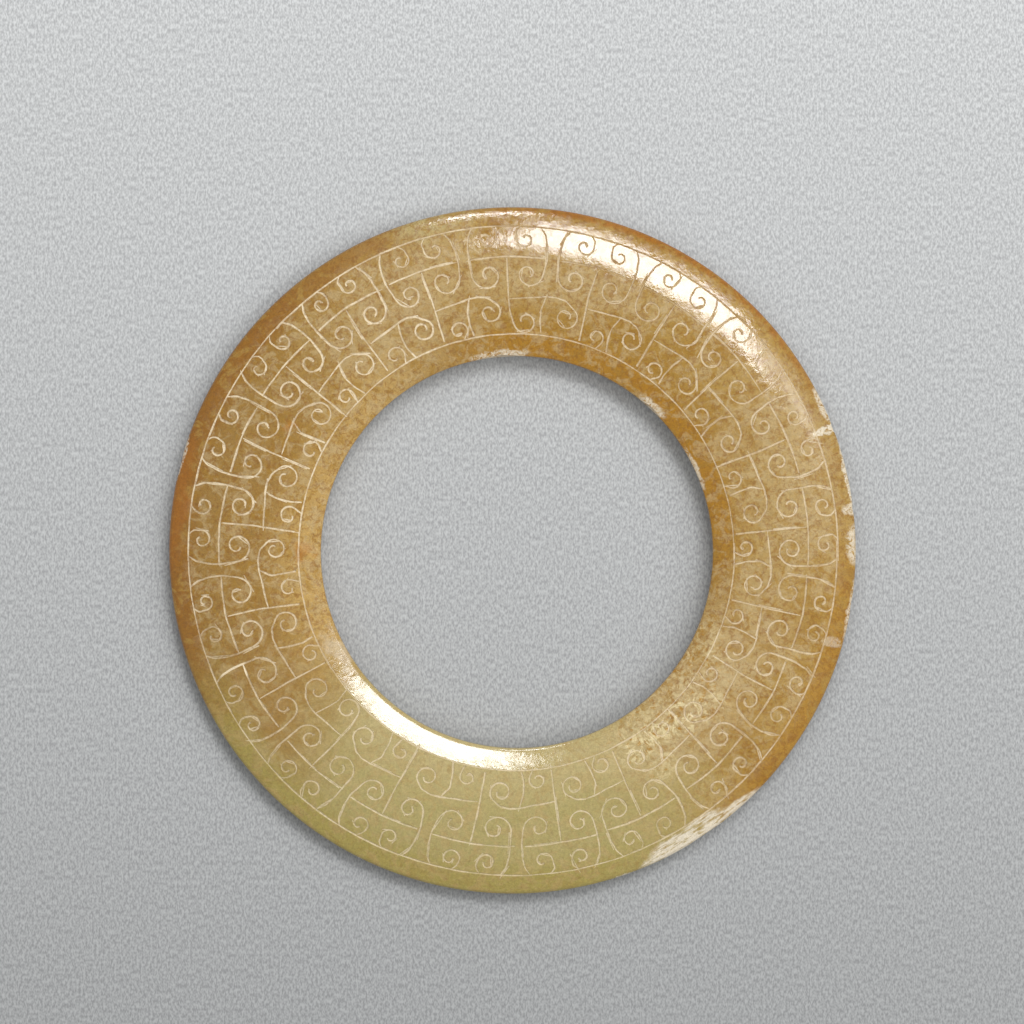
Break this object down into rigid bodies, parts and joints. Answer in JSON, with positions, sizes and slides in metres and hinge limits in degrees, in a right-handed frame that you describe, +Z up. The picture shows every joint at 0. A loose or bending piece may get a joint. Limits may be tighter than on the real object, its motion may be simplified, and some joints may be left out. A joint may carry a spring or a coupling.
{
  "type": "jade huan disc",
  "caption": "Flat jade ring, thickest at a low crest and thin at its rim, with a band of incised interlocking T-scrolls between two border lines on its upper face.",
  "frame": {"origin": "centre of the rim circle, on the plane that the lower face's crest rests on", "axes": "+Z up, out of the carved upper face; +X and +Y lie in the plane of the ring, +X to the picture's right and +Y to its top"},
  "size_m": [0.09, 0.09, 0.0048],
  "materials": {
    "jade": "polished nephrite, honey brown to celadon with russet rims and milky clouds, faintly translucent"
  },
  "bodies": {
    "root": {"jade_disc": "jade"}
  },
  "joints": []
}
